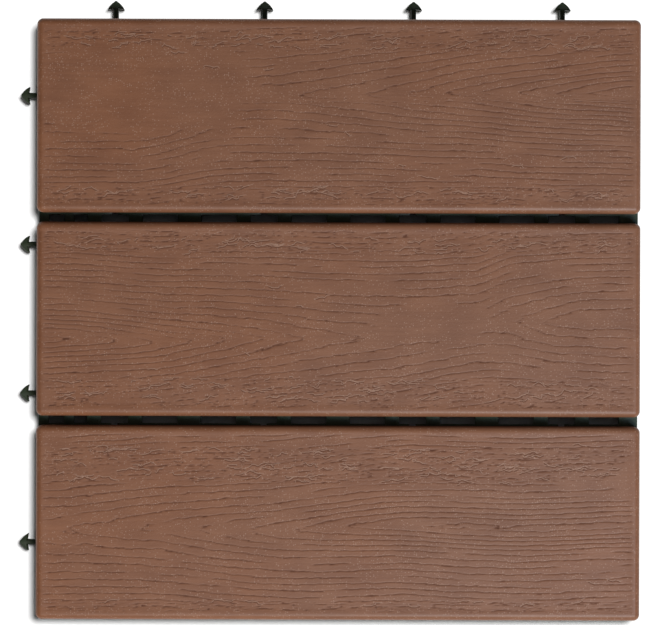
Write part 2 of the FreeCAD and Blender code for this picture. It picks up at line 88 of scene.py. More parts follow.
class Desk:
    """A node tree that nodes are laid out in.

    Args:
        tree: The tree of a material, or of a Geometry Nodes modifier.
    """

    def __init__(self, tree: NodeTree) -> None:
        """Keeps the tree."""
        self.tree = tree

    def add(self, kind: str, sockets: Sockets = None, output: Key = 0, **settings: Any) -> "Wire":
        """Adds a node.

        Args:
            kind: The node's type.
            sockets: The values of its inputs, or the wires that lead to them.
            output: The output that is wanted.
            settings: Its settings, which are set first.

        Returns:
            The wire that leaves the node.
        """
        node = self.tree.nodes.new(kind)
        for name, value in settings.items():
            setattr(node, name, value)
        for key, value in (sockets or {}).items():
            if isinstance(value, Wire):
                self.tree.links.new(value.socket, node.inputs[key])
            else:
                node.inputs[key].default_value = value
        return Wire(self, node.outputs[output])

    def maths(self, operation: str, *values: Number) -> "Wire":
        """Adds a Math node on one, two or three values."""
        return self.add("ShaderNodeMath", dict(enumerate(values)), operation=operation)

    def vector(self, x: Number, y: Number, z: Number = 0.0) -> "Wire":
        """Joins three values to a vector."""
        return self.add("ShaderNodeCombineXYZ", {"X": x, "Y": y, "Z": z})

    def apart(self, place: "Wire") -> Place:
        """Takes a place in metres apart to its three coordinates, in millimetres."""
        sockets = {"Vector": place}
        return tuple(self.add("ShaderNodeSeparateXYZ", sockets, axis) / MM for axis in "XYZ")

    def random(self, low: float, high: float, seed: Number, stream: int = 0) -> "Wire":
        """A number between two for each point or instance."""
        sockets = {RANDOM_LOW: low, RANDOM_HIGH: high, "Seed": seed + stream}
        return self.add("FunctionNodeRandomValue", sockets, RANDOM_NUMBER, data_type="FLOAT")

    def mix(self, share: Number, first: Any, second: Any, blend: str = "MIX") -> "Wire":
        """Mixes two colours, by the share of the second and by how it acts on the first."""
        sockets = {MIX_SHARE: share, MIX_FIRST: first, MIX_SECOND: second}
        return self.add("ShaderNodeMix", sockets, MIX_COLOUR, data_type="RGBA", blend_type=blend)

    def marked(self, mark: Mark) -> "Wire":
        """Reads what the points of the shape are marked with, for a material."""
        return self.add("ShaderNodeAttribute", None, "Fac", attribute_name=mark.value)

    def mark(self, shape: "Wire", mark: Mark, value: Number) -> "Wire":
        """Marks each point of a shape with a number."""
        stored = {"Geometry": shape, "Name": mark.value, "Value": value}
        return self.add("GeometryNodeStoreNamedAttribute", stored, data_type="FLOAT", domain="POINT")

    def move(self, shape: "Wire", x: Number, y: Number, z: Number = 0.0) -> "Wire":
        """Moves the points of a shape, by metres."""
        moved = {"Geometry": shape, "Offset": self.vector(x, y, z)}
        return self.add("GeometryNodeSetPosition", moved)

    def join(self, *shapes: "Wire") -> "Wire":
        """Joins shapes to one.

        Args:
            shapes: The shapes.

        Returns:
            The whole.
        """
        node = self.tree.nodes.new("GeometryNodeJoinGeometry")
        for shape in shapes:
            self.tree.links.new(shape.socket, node.inputs[0])
        return Wire(self, node.outputs[0])


class Wire:
    """A socket that takes part in arithmetic: each operation adds its Math node.

    Args:
        desk: The tree that the socket is in.
        socket: The output socket.
    """

    def __init__(self, desk: Desk, socket: NodeSocket) -> None:
        """Keeps the tree and the socket."""
        self.desk = desk
        self.socket = socket

    def __add__(self, other: Number) -> "Wire":
        """Sum."""
        return self.desk.maths("ADD", self, other)

    __radd__ = __add__

    def __mul__(self, other: Number) -> "Wire":
        """Product."""
        return self.desk.maths("MULTIPLY", self, other)

    __rmul__ = __mul__

    def __sub__(self, other: Number) -> "Wire":
        """Difference."""
        return self.desk.maths("SUBTRACT", self, other)

    def __rsub__(self, other: Number) -> "Wire":
        """Difference from the other."""
        return self.desk.maths("SUBTRACT", other, self)

    def __truediv__(self, other: Number) -> "Wire":
        """Quotient."""
        return self.desk.maths("DIVIDE", self, other)

    def __rtruediv__(self, other: Number) -> "Wire":
        """Quotient of the other by this."""
        return self.desk.maths("DIVIDE", other, self)

    def __abs__(self) -> "Wire":
        """Size without its sign."""
        return self.desk.maths("ABSOLUTE", self)

    def root(self) -> "Wire":
        """Square root."""
        return self.desk.maths("SQRT", self)

    def nearest(self) -> "Wire":
        """Nearest whole number."""
        return self.desk.maths("ROUND", self)

    def at_least(self, low: Number) -> "Wire":
        """The larger of the two."""
        return self.desk.maths("MAXIMUM", self, low)

    def ease(self, start: Number, end: Number) -> "Wire":
        """Rises smoothly from 0 at start to 1 at end."""
        sockets = {"Value": self, "From Min": start, "From Max": end, "To Min": 0.0, "To Max": 1.0}
        return self.desk.add("ShaderNodeMapRange", sockets, interpolation_type="SMOOTHSTEP")

    def swing(self, amount: float) -> "Wire":
        """Swing about 0 that noise gives."""
        return (self - NOISE_MIDDLE) * amount

    def towards(self, other: Number, share: Number) -> "Wire":
        """Value that is this one at share 0 and the other at share 1."""
        return self + (other - self) * share


@dataclass(frozen=True)
class Cloud:
    """Smooth noise.

    Attributes:
        size: Size of its grains along three axes.
        shift: How far along the third axis it is read, to set it apart.
        detail: How many finer layers it has.
        strength: How strong each layer is beside the one before.
    """

    size: Triple
    shift: float = 0.0
    detail: float = 2.0
    strength: float = 0.5

    def at(self, place: Place) -> Wire:
        """Reads the noise.

        Args:
            place: The place that it is read at.

        Returns:
            The noise, from 0 to 1.
        """
        x, y, z = (number / size for number, size in zip(place, self.size))
        where = x.desk.vector(x, y, z + self.shift)
        sockets = {"Vector": where, "Scale": 1.0, "Detail": self.detail, "Roughness": self.strength}
        return x.desk.add("ShaderNodeTexNoise", sockets, noise_dimensions="3D")


@dataclass(frozen=True)
class Bump:
    """Fine unevenness that is too small for geometry.

    Attributes:
        strength: How much of it shows.
        height: Its height, in metres.
    """

    strength: float
    height: float

    def of(self, level: Wire) -> Wire:
        """Turns a level into a normal."""
        sockets = {"Strength": self.strength, "Distance": self.height, "Height": level}
        return level.desk.add("ShaderNodeBump", sockets)


class Shader:
    """The Principled shader of a new material.

    Args:
        name: The material's name.
        fixed: Values of the inputs that are the same all over.
    """

    def __init__(self, name: str, fixed: dict[str, Any]) -> None:
        """Makes the material."""
        self.material = bpy.data.materials.new(name)
        self.material.use_nodes = True
        self.desk = Desk(self.material.node_tree)
        self.node = next(n for n in self.material.node_tree.nodes if n.type == "BSDF_PRINCIPLED")
        for key, value in fixed.items():
            self.node.inputs[key].default_value = value

    def lead(self, name: str, wire: Wire) -> None:
        """Leads a wire to one of the shader's inputs."""
        self.desk.tree.links.new(wire.socket, self.node.inputs[name])

    def place(self) -> Place:
        """The place in the piece's own coordinates, in millimetres."""
        return self.desk.apart(self.desk.add("ShaderNodeTexCoord", output="Object"))


@dataclass(frozen=True)
class SlatFinish:
    """Red-brown moulded plastic with a fine speckle.

    Shares say how strongly something counts. Spans say where its effect starts, and is full.

    Attributes:
        dark, light: The darkest and the palest tone.
        speck: Colour of the specks, and of the painted highlight on the crests where the grain is torn.
        groove: Painted shade colour in the grooves, and in the dark lines beside the torn strokes.
        warm: What the tone is multiplied by where it is warmest, in the warmer patches and in the warm light
            painted towards the left end.
        cloud, streak: Broad patches of tone, and streaks along the slat.
        grit, waves: The plastic's grit, and broader unevenness.
        tone_shares, tone_span: Cloud, streak and grit in the tone.
        patch, patch_span, patch_share: Warmer patches.
        left_span, left_share: Warm light painted towards the left end; the span is in millimetres along the
            slat.
        cells: Places for specks to a millimetre.
        speck_span, speck_range: Where the smallest speck fades, and how much further out the largest.
        crowd, crowd_span, luck_share: Where the specks crowd, and how much chance counts beside it.
        speck_share, crest_share: Specks, and the painted highlight on the crests, in the colour.
        groove_shares: Depth and its square in the painted shade of the grooves.
        roughness, grit_roughness, groove_roughness: Its roughness, and what these change in it.
        bump_shares, bump: Grit, waves and specks in the bump, and the bump.
        gloss: How strongly it mirrors.
    """

    dark: Colour = (0.163, 0.0655, 0.033, 1.0)
    light: Colour = (0.216, 0.0925, 0.048, 1.0)
    speck: Colour = (0.36, 0.21, 0.145, 1.0)
    # Painted shade for the grooves and the strokes' dark lines.
    groove: Colour = (0.080, 0.024, 0.009, 1.0)
    warm: Colour = (1.05, 0.95, 0.82, 1.0)
    cloud: Cloud = Cloud((22.0, 12.0, 12.0), detail=3.0)
    streak: Cloud = Cloud((26.0, 1.3, 1.3), detail=3.0)
    grit: Cloud = Cloud((0.42, 0.42, 0.42))
    waves: Cloud = Cloud((1.7, 0.9, 0.9))
    tone_shares: Triple = (0.5, 0.3, 0.2)
    tone_span: Pair = (0.3, 0.7)
    patch: Cloud = Cloud((60.0, 45.0, 45.0), 7.0, 1.0)
    patch_span: Pair = (0.35, 0.65)
    patch_share: float = 0.40
    left_share: float = 0.62
    left_span: Pair = (-150.0, 90.0)
    cells: float = 1.1
    speck_span: Pair = (0.16, 0.26)
    speck_range: float = 0.2
    crowd: Cloud = Cloud((14.0, 9.0, 9.0), 5.0)
    luck_share: float = 0.6
    crowd_span: Pair = (0.83, 0.99)
    speck_share: float = 0.62
    crest_share: float = 0.6
    groove_shares: Pair = (0.35, 0.65)
    roughness: float = 0.46
    grit_roughness: float = 0.25
    groove_roughness: float = 0.35
    bump_shares: Triple = (0.6, 0.8, 0.5)
    bump: Bump = Bump(0.4, 0.00012)
    gloss: float = 0.32

    def make(self) -> Material:
        """Makes the material.

        Returns:
            A material that reads the piece's object coordinates and its marks.
        """
        shader = Shader("slat_plastic", {"Specular IOR Level": self.gloss})
        desk = shader.desk
        place = shader.place()
        grit = self.grit.at(place)
        speck = self._specks(place)
        crest = desk.marked(Mark.CREST)
        depth = desk.marked(Mark.GROOVE)
        colour = desk.mix(speck * self.speck_share, self._body(place, grit), self.speck)
        # Painted highlight: the crests of the torn strokes take the pale speck colour.
        colour = desk.mix(crest * self.crest_share, colour, self.speck)
        # Painted shade: the grooves and the dark lines beside the strokes take the groove colour by their
        # depth mark.
        steady, growing = self.groove_shares
        colour = desk.mix(depth * (steady + depth * growing), colour, self.groove)
        shader.lead("Base Color", colour)
        rough = self.roughness + grit.swing(self.grit_roughness) + depth * self.groove_roughness
        shader.lead("Roughness", rough)
        grit_share, wave_share, speck_share = self.bump_shares
        level = grit * grit_share + self.waves.at(place) * wave_share + speck * speck_share
        shader.lead("Normal", self.bump.of(level))
        return shader.material

    def _body(self, place: Place, grit: Wire) -> Wire:
        """Colour of the plastic without its specks, with warm light painted towards the left end.

        Args:
            place: The place on the piece, in millimetres.
            grit: The grit there.

        Returns:
            The colour.
        """
        cloud_share, streak_share, grit_share = self.tone_shares
        tone = self.cloud.at(place) * cloud_share + self.streak.at(place) * streak_share
        tone = (tone + grit * grit_share).ease(*self.tone_span)
        patch = self.patch.at(place).ease(*self.patch_span)
        # Painted warm light, strongest at the left end of the slat.
        left = 1.0 - place[0].ease(*self.left_span)
        warmth_and_painted_light = patch * self.patch_share + left * self.left_share
        desk = grit.desk
        return desk.mix(warmth_and_painted_light, desk.mix(tone, self.dark, self.light), self.warm, "MULTIPLY")

    def _specks(self, place: Place) -> Wire:
        """Share of speck at a place.

        Args:
            place: The place on the piece, in millimetres.

        Returns:
            The share, from 0 to 1.
        """
        desk = place[0].desk
        cells = {"Vector": desk.vector(*place), "Scale": self.cells, "Randomness": 1.0}
        away = desk.add("ShaderNodeTexVoronoi", cells, "Distance", feature="F1")
        luck = desk.add("ShaderNodeTexVoronoi", cells, "Color")
        luck = desk.add("ShaderNodeSeparateColor", {0: luck})
        start, end = self.speck_span
        fading = away.ease(start, end + luck * self.speck_range)
        there = luck * self.luck_share + self.crowd.at(place)
        return (1.0 - fading) * there.ease(*self.crowd_span)


@dataclass(frozen=True)
class LatticeFinish:
    """Dark moulded plastic with a trace of green.

    Attributes:
        dark, light: The darkest and the palest tone.
        flow, grit: Marks of the plastic's flow, and its grit.
        tone_shares, tone_span: Flow and grit in the tone, and where it starts and is palest.
        roughness, flow_roughness: Its roughness, and what the flow changes in it.
        bump: The bump.
        gloss: How strongly it mirrors.
    """

    dark: Colour = (0.0130, 0.0210, 0.0095, 1.0)
    light: Colour = (0.031, 0.048, 0.023, 1.0)
    flow: Cloud = Cloud((16.0, 16.0, 6.0), detail=4.0)
    grit: Cloud = Cloud((0.5, 0.5, 0.5))
    tone_shares: Pair = (0.7, 0.3)
    tone_span: Pair = (0.3, 0.7)
    roughness: float = 0.46
    flow_roughness: float = 0.3
    bump: Bump = Bump(0.3, 0.0001)
    gloss: float = 0.3

    def make(self) -> Material:
        """Makes the material.

        Returns:
            A material that reads the piece's object coordinates.
        """
        shader = Shader("lattice_plastic", {"Specular IOR Level": self.gloss})
        desk = shader.desk
        place = shader.place()
        flow = self.flow.at(place)
        grit = self.grit.at(place)
        flow_share, grit_share = self.tone_shares
        tone = (flow * flow_share + grit * grit_share).ease(*self.tone_span)
        shader.lead("Base Color", desk.mix(tone, self.dark, self.light))
        shader.lead("Roughness", self.roughness + flow.swing(self.flow_roughness))
        shader.lead("Normal", self.bump.of(grit))
        return shader.material


@dataclass(frozen=True)
class FloorFinish:
    """Plain pale studio floor.

    Attributes:
        colour, roughness: Its colour and its roughness.
    """

    colour: Colour = (0.9, 0.9, 0.9, 1.0)
    roughness: float = 0.8

    def make(self) -> Material:
        """Makes the material."""
        return Shader("pale_floor", {"Base Color": self.colour, "Roughness": self.roughness}).material


class Side(Enum):
    """Which side of the heart line the grain is on."""

    UPPER = "upper"
    LOWER = "lower"


@dataclass(frozen=True)
class Swell:
    """One swing of the grain away from its heart line, in millimetres.

    Attributes:
        amount: How far the lines at the heart swing out.
        start: Where along the slat they start to.
        end: Where they have. It lies left of start for lines that close in on the heart.
        reach: How far from the heart half of the swing is left.
    """

    amount: float = 0.0
    start: float = 0.0
    end: float = 1.0
    reach: float = 10.0


@dataclass(frozen=True)
class Grain:
    """The grain of one slat, in millimetres from the middle of its walking face.

    Attributes:
        heart, heart_rise: Height of the heart line at the left end, and how far it rises.
        rise_from, rise_to: Where along the slat it rises.
        torn_top, torn_top_end: Lowest and highest place of the torn band near the rear edge.
        torn_bottom: Highest place of the torn band near the front edge.
        bare_x, bare_y: Middle of the bare patch.
        bare_long, bare_wide: Half its length and half its width.
        seed: Start of everything random.
        upper, lower: The swings above and below the heart line, at most as many as SWELLS says.
    """

    heart: float
    heart_rise: float
    rise_from: float
    rise_to: float
    torn_top: float
    torn_top_end: float
    torn_bottom: float
    bare_x: float
    bare_y: float
    bare_long: float
    bare_wide: float
    seed: float
    upper: tuple[Swell, ...] = ()
    lower: tuple[Swell, ...] = ()

    def values(self) -> dict[str, float]:
        """Lists the grain's numbers.

        Returns:
            The numbers by the names of the tree's inputs.
        """
        named = {item.name: getattr(self, item.name) for item in fields(self) if item.type is float}
        for side in Side:
            swells = getattr(self, side.value) + (Swell(),) * SWELLS
            for number, swell in enumerate(swells[:SWELLS]):
                for item in fields(swell):
                    named[f"{side.value}_{number}_{item.name}"] = getattr(swell, item.name)
        return named


@dataclass(frozen=True)
class Figure:
    """What the grain has in common on all slats. Lengths are in millimetres.

    Spans say where the effect of a noise starts, and is full, and borders do it from the face's border.
    The third axis of the noises is the slat's seed.

    Attributes:
        bluntness: How bluntly the lines turn at the heart, as the square of a length.
        rate, crowding: Grain lines to a millimetre at the heart, and their growth further out.
        least_growth: Square of the least growth, which keeps lines thin where they turn.
        drift, drift_plane, drift_size: How the heart line wanders, where its noise is read, how far.
        blend: Half the width over which the swings of the two sides blend.
        sway, sway_size: Broad unevenness of the lines, and its size in lines.
        jitter, jitter_size: Fine unevenness of the lines, and its size in lines.
        jog, jog_span: Where the lines jump.
        jog_shares: How far plain lines jump, and how much further torn ones do, in lines.
        width_shares: Shares of a groove's width: every line's, more if torn, more by chance.
        line_width: The chance in it.
        presence, scatter: Where a plain line is cut, and a torn one.
        apart: How far apart width, presence and scatter are read for neighbouring lines.
        scatter_loss: How much less of the torn lines is cut.
        near_reach, near_gain: How much more surely the lines near the heart are cut.
        bare_span, bare_loss: How much less surely lines in the bare patch are cut.
        cut_span: Where all this cuts a line.
        border, sink_border: Where the grooves start, and where the face sinks.
        torn_blends: How far out the torn bands fade, and how far before its end the rear one does.
    """

    bluntness: float = 2.0
    rate: float = 0.15
    crowding: float = 0.0024
    least_growth: float = 0.09
    drift: Cloud = Cloud((60.0, 1.0, 1.0), detail=0.0)
    drift_plane: float = 3.0
    drift_size: float = 4.0
    blend: float = 3.0
    sway: Cloud = Cloud((24.0, 7.0, 1.0), 11.0)
    sway_size: float = 0.7
    jitter: Cloud = Cloud((3.2, 2.0, 1.0), 23.0)
    jitter_size: float = 0.2
    jog: Cloud = Cloud((5.5, 3.0, 1.0), 37.0)
    jog_span: Pair = (0.42, 0.56)
    jog_shares: Pair = (0.1, 0.9)
    width_shares: Triple = (0.75, 0.45, 0.6)
    line_width: Cloud = Cloud((9.0, 1.0, 1.0), 5.0)
    presence: Cloud = Cloud((34.0, 1.0, 1.0), 41.0)
    scatter: Cloud = Cloud((8.0, 1.0, 1.0), 53.0)
    apart: Triple = (7.3, 5.7, 9.1)
    scatter_loss: float = 0.02
    near_reach: float = 60.0
    near_gain: float = 0.14
    bare_span: Pair = (0.5, 1.6)
    bare_loss: float = 0.45
    cut_span: Pair = (0.40, 0.47)
    border: Pair = (0.5, 1.7)
    torn_blends: Pair = (2.0, 1.5)
    sink_border: Pair = (0.2, 3.2)


@dataclass(frozen=True)
class Tube:
    """A tube along each torn stroke, of which only the upper part stands out of the face.

    Attributes:
        mark, share: What its points are marked with, and the mark's value.
        radius: Its radius, in metres.
        shift, height: How far behind the stroke and above the face its middle lies, in metres.
        sides: How many sides it has.
        least: Share of the radius that its ends keep.
    """

    mark: Mark
    share: float
    radius: float
    shift: float
    height: float
    sides: int = 6
    least: float = 0.25

    def along(self, lines: Wire) -> Wire:
        """Lays the tube along lines.

        Args:
            lines: The lines.

        Returns:
            Closed tubes that thin out towards both ends.
        """
        desk = lines.desk
        circle = {"Resolution": self.sides, "Radius": self.radius}
        ring = desk.add("GeometryNodeCurvePrimitiveCircle", circle, "Curve", mode="RADIUS")
        way = desk.add("GeometryNodeSplineParameter")
        taper = (way * (1.0 - way) * 4.0).root().root().at_least(self.least)
        swept = {"Curve": lines, "Profile Curve": ring, "Scale": taper, "Fill Caps": True}
        tube = desk.add("GeometryNodeCurveToMesh", swept)
        return desk.mark(desk.move(tube, 0.0, self.shift, self.height), self.mark, self.share)


@dataclass(frozen=True)
class Strokes:
    """Wandering strokes where the grain is torn, each a crest made pale as a painted highlight, with a dark
    line in front of it as a painted shadow.

    Attributes:
        torn_share, stray_share: Shares of the most strokes in a torn band, and elsewhere.
        crowd, crowd_span: Where the strokes crowd.
        border, end_border: Where strokes start, from the face's border and its ends, in millimetres.
        sizes: Size of the smallest and of the largest stroke, beside a common one.
        size_stream: What is added to the seed for the sizes.
        turns: How far the strokes turn at least and at most, in radians.
        bend_x, bend_y, bends: How they bend along the slat and across it, and how far in millimetres.
        crest, line: The crest, pale as a painted highlight, and the dark line, a painted shadow.
    """

    torn_share: float = 0.9
    stray_share: float = 0.008
    crowd: Cloud = Cloud((14.0, 5.0, 1.0), 71.0)
    crowd_span: Pair = (0.4, 0.62)
    border: Pair = (4.0, 5.0)
    end_border: Pair = (8.0, 9.0)
    sizes: Pair = (0.4, 1.5)
    size_stream: int = 5
    turns: Pair = (-0.15, 0.3)
    bend_x: Cloud = Cloud((3.6, 3.6, 1.0), 83.0)
    bend_y: Cloud = Cloud((4.6, 4.6, 1.0), 97.0)
    bends: Pair = (9.0, 6.5)
    # The crest's pale colour is a painted highlight, the line's dark colour a painted shadow.
    crest: Tube = Tube(Mark.CREST, 1.0, 0.00032, 0.0, -0.00019)
    line: Tube = Tube(Mark.GROOVE, 0.76, 0.00068, -0.00042, -0.00052)


@dataclass
class GrainTree:
    """Geometry Nodes tree that lays a grooved walking face into the open top of a slat's shell.

    Attributes:
        figure: What the grain has in common on all slats.
        strokes: The strokes where it is torn.
        tree, desk: The tree, and the same as nodes are laid out in it.
        inputs: Identifier of each named input.
        entry: The node that the inputs come from.
        place: Millimetres along the slat and across it from its middle, and its seed.
    """

    figure: Figure = Figure()
    strokes: Strokes = Strokes()
    tree: NodeTree = field(init=False)
    inputs: dict[str, str] = field(init=False, default_factory=dict)
    desk: Desk = field(init=False)
    entry: Node = field(init=False)
    place: Place = field(init=False)

    def __post_init__(self) -> None:
        """Builds the tree."""
        self.tree = bpy.data.node_groups.new("walking_face", "GeometryNodeTree")
        self.desk = Desk(self.tree)
        for way in ("INPUT", "OUTPUT"):
            self.tree.interface.new_socket("Geometry", in_out=way, socket_type="NodeSocketGeometry")
        for name in ("half_length", "half_width", "middle", "top", *Slat.MEASURES, *REAR.values()):
            self._name_input(name, "NodeSocketFloat")
        for name in Slat.COUNTS:
            self._name_input(name, "NodeSocketInt")
        self._name_input("material", "NodeSocketMaterial")
        self.entry = self.tree.nodes.new("NodeGroupInput")
        x, y, _ = self.desk.apart(self.desk.add("GeometryNodeInputPosition"))
        self.place = (x, y, self.given("seed"))
        self._lay()

    def _name_input(self, name: str, kind: str) -> None:
        """Adds a named input to the tree."""
        socket = self.tree.interface.new_socket(name, in_out="INPUT", socket_type=kind)
        self.inputs[name] = socket.identifier

    def given(self, name: str) -> Wire:
        """Wire from one of the tree's inputs."""
        return Wire(self.desk, self.entry.outputs[name])

    def _count(self, off: Wire, side: Side) -> tuple[Wire, Wire]:
        """Number of grain lines from the heart line to a place, and how fast it grows there.

        Args:
            off: Millimetres above the heart line.
            side: The side whose swings are used.

        Returns:
            The number, which is whole on a line, and its growth per millimetre.
        """
        figure = self.figure
        apart = (off * off + figure.bluntness).root()
        ring = apart
        growth = abs(off) / apart
        for number in range(SWELLS):
            amount, start, end, reach = (
                self.given(f"{side.value}_{number}_{item.name}") for item in fields(Swell)
            )
            left = 1.0 / (1.0 + off * off / (reach * reach))
            swing = amount * self.place[0].ease(start, end)
            ring = ring - swing * left
            growth = growth + swing * left * left * abs(off) * 2.0 / (reach * reach)
        outer = ring.at_least(0.0)
        crowding = figure.rate + outer * (2.0 * figure.crowding)
        growth = (growth * growth + figure.least_growth).root() * crowding
        return ring * figure.rate + outer * outer * figure.crowding, growth

    def _groove(self) -> Wire:
        """Cuts the grain.

        Returns:
            Its depth, from 0 on the face to 1 at the bottom of a groove.
        """
        figure = self.figure
        x, y, seed = self.place
        risen = x.ease(self.given("rise_from"), self.given("rise_to"))
        heart = self.given("heart") + self.given("heart_rise") * risen
        drift = figure.drift.at((x, seed, figure.drift_plane)).swing(figure.drift_size)
        off = y - heart - drift
        above = off.ease(-figure.blend, figure.blend)
        low_count, low_growth = self._count(off, Side.LOWER)
        high_count, high_growth = self._count(off, Side.UPPER)
        growth = low_growth.towards(high_growth, above)
        torn = self._torn()
        plain_jog, torn_jog = figure.jog_shares
        jog = figure.jog.at(self.place).ease(*figure.jog_span) * (plain_jog + torn * torn_jog)
        sway = figure.sway.at(self.place).swing(figure.sway_size)
        jitter = figure.jitter.at(self.place).swing(figure.jitter_size)
        count = low_count.towards(high_count, above) + sway + jitter + jog
        line = count.nearest()
        away = abs(count - line) / growth
        plain, more, most = figure.width_shares
        chance = figure.line_width.at((x, line * figure.apart[0], seed))
        width = plain + torn * more + most * chance
        cut = 1.0 - away.ease(0.0, self.given("groove_width") * width)
        return cut * self._kept(off, line, torn) * self._within(figure.border)

    def _kept(self, off: Wire, line: Wire, torn: Wire) -> Wire:
        """Leaves parts of the lines out.

        Args:
            off: Millimetres above the heart line.
            line: Number of the line.
            torn: Share of torn grain.

        Returns:
            The share of the line's depth that is cut, from 0 to 1.
        """
        figure = self.figure
        x, y, seed = self.place
        presence = figure.presence.at((x, line * figure.apart[1], seed))
        scatter = figure.scatter.at((x, line * figure.apart[2], seed))
        kept = presence.towards(scatter - figure.scatter_loss, torn)
        bare_x = (x - self.given("bare_x")) / self.given("bare_long")
        bare_y = (y - self.given("bare_y")) / self.given("bare_wide")
        bare = 1.0 - (bare_x * bare_x + bare_y * bare_y).ease(*figure.bare_span)
        near = 1.0 / (1.0 + off * off / figure.near_reach)
        return (kept + near * figure.near_gain - bare * figure.bare_loss).ease(*figure.cut_span)

    def _torn_strokes(self, face: Wire) -> Wire:
        """Scatters the strokes where the grain is torn.

        Args:
            face: The walking face, before it is cut.

        Returns:
            The strokes, level with the face's middle plane.
        """
        desk, strokes = self.desk, self.strokes
        share = self._torn() * strokes.torn_share + strokes.stray_share
        share = share * strokes.crowd.at(self.place).ease(*strokes.crowd_span) * self._within(strokes.border)
        share = share * self._inside("half_length", self.place[0], strokes.end_border)
        seed = desk.add("FunctionNodeFloatToInt", {0: self.place[2]})
        spread = {"Mesh": face, "Density": share * self.given("stroke_density"), "Seed": seed}
        points = desk.add("GeometryNodeDistributePointsOnFaces", spread, "Points")
        half = self.given("stroke_length") / 2.0
        ends = {"Start": desk.vector(half * -1.0, 0.0), "End": desk.vector(half, 0.0)}
        size = desk.random(*strokes.sizes, seed, strokes.size_stream)
        copies = {
            "Points": points,
            "Instance": desk.add("GeometryNodeCurvePrimitiveLine", ends),
            "Rotation": desk.vector(0.0, 0.0, desk.random(*strokes.turns, seed)),
            "Scale": desk.vector(size, size, size),
        }
        placed = desk.add("GeometryNodeInstanceOnPoints", copies)
        lines = desk.add("GeometryNodeRealizeInstances", {"Geometry": placed})
        divided = {"Curve": lines, "Length": self.given("stroke_step")}
        lines = desk.add("GeometryNodeResampleCurve", divided, mode="LENGTH")
        bends = zip((strokes.bend_x, strokes.bend_y), strokes.bends)
        lines = desk.move(lines, *(bend.at(self.place).swing(far) * MM for bend, far in bends))
        return desk.join(strokes.crest.along(lines), strokes.line.along(lines))

    def _inside(self, half: str, place: Wire, border: Pair) -> Wire:
        """Rises from 0 to 1 between two distances from two opposite edges, in millimetres."""
        return (self.given(half) / MM - abs(place)).ease(*border)

    def _within(self, border: Pair) -> Wire:
        """Rises from 0 to 1 between two distances from the face's border, in millimetres."""
        along = self._inside("half_length", self.place[0], border)
        return along * self._inside("half_width", self.place[1], border)

    def _torn(self) -> Wire:
        """Tells the torn bands.

        Returns:
            The share of torn grain, from 0 to 1.
        """
        y = self.place[1]
        low, high, bottom = (self.given(name) for name in ("torn_top", "torn_top_end", "torn_bottom"))
        blend, end_blend = self.figure.torn_blends
        top_band = y.ease(low - blend, low + blend) * (1.0 - y.ease(high - end_blend, high))
        return top_band.at_least(1.0 - y.ease(bottom - blend, bottom + blend))

    def _lay(self) -> None:
        """Adds the face, its grain, the joint with the shell and the finish."""
        desk = self.desk
        middle, top, sink = self.given("middle"), self.given("top"), self.given("sink")
        sizes = {
            "Size X": self.given("half_length") * 2.0,
            "Size Y": self.given("half_width") * 2.0,
            "Vertices X": self.given("columns"),
            "Vertices Y": self.given("rows"),
        }
        face = desk.add("GeometryNodeMeshGrid", sizes, "Mesh")
        strokes = desk.move(self._torn_strokes(face), 0.0, middle, top - sink)
        # The groove mark sets the face's depth below, and the painted shade in the grooves' colour.
        face = desk.mark(face, Mark.GROOVE, self._groove())
        name = {"Name": Mark.GROOVE.value}
        groove = desk.add("GeometryNodeInputNamedAttribute", name, data_type="FLOAT")
        lift = top - self._within(self.figure.sink_border) * sink - groove * self.given("groove_depth")
        face = desk.move(face, 0.0, middle, lift)
        parts = {"Geometry": desk.join(face, self.given("Geometry")), "Distance": RIM_JOIN}
        closed = desk.add("GeometryNodeMergeByDistance", parts)
        whole = desk.add("GeometryNodeRealizeInstances", {"Geometry": desk.join(closed, strokes)})
        bare = {"Geometry": whole, "Material": self.given("material")}
        dressed = desk.add("GeometryNodeSetMaterial", bare)
        end = self.tree.nodes.new("NodeGroupOutput")
        self.tree.links.new(dressed.socket, end.inputs[0])


def add_object(name: str, data: ID) -> Object:
    """Adds an object to the scene.

    Args:
        name: Its name.
        data: Its shape, light or camera.

    Returns:
        The object.
    """
    added = bpy.data.objects.new(name, data)
    bpy.context.scene.collection.objects.link(added)
    return added


def read_packed(node: str) -> BMesh:
    """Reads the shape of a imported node, without the normals that it was packed with.

    Args:
        node: The node's name.

    Returns:
        Its shape, with its triangles joined at their corners.
    """
    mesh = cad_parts[node].data.copy()
    normals = mesh.attributes.get("custom_normal")
    if normals is not None:
        mesh.attributes.remove(normals)
    bm = bmesh.new()
    bm.from_mesh(mesh)
    bpy.data.meshes.remove(mesh)
    bmesh.ops.remove_doubles(bm, verts=bm.verts, dist=POINT_JOIN)
    return bm


def add_piece(name: str, bm: BMesh) -> Object:
    """Adds an object with a shape to the scene, and frees the shape.

    Args:
        name: The object's name.
        bm: The shape.

    Returns:
        The object.
    """
    mesh = bpy.data.meshes.new(name)
    bm.to_mesh(mesh)
    bm.free()
    return add_object(name, mesh)


def keep_result(piece: Object, modifier: Modifier) -> None:
    """Gives a piece what its modifier makes of it, as a plain mesh, and removes the modifier.

    Args:
        piece: The piece.
        modifier: Its modifier.
    """
    depsgraph = bpy.context.evaluated_depsgraph_get()
    mesh = bpy.data.meshes.new_from_object(piece.evaluated_get(depsgraph), depsgraph=depsgraph)
    piece.modifiers.remove(modifier)
    piece.data = mesh


def finish_piece(piece: Object, node: str, sharp: float) -> None:
    """Shades a piece smooth up to an angle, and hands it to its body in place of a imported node.

    Args:
        piece: The finished object.
        node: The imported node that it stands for.
        sharp: Edges that turn further than this stay sharp, in radians.
    """
    piece.data.shade_smooth()
    piece.data.set_sharp_from_angle(angle=sharp)
    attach(piece, BODY)
    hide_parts(node)
    LOG.info("%s: %d faces, stands for %s", piece.name, len(piece.data.polygons), node)


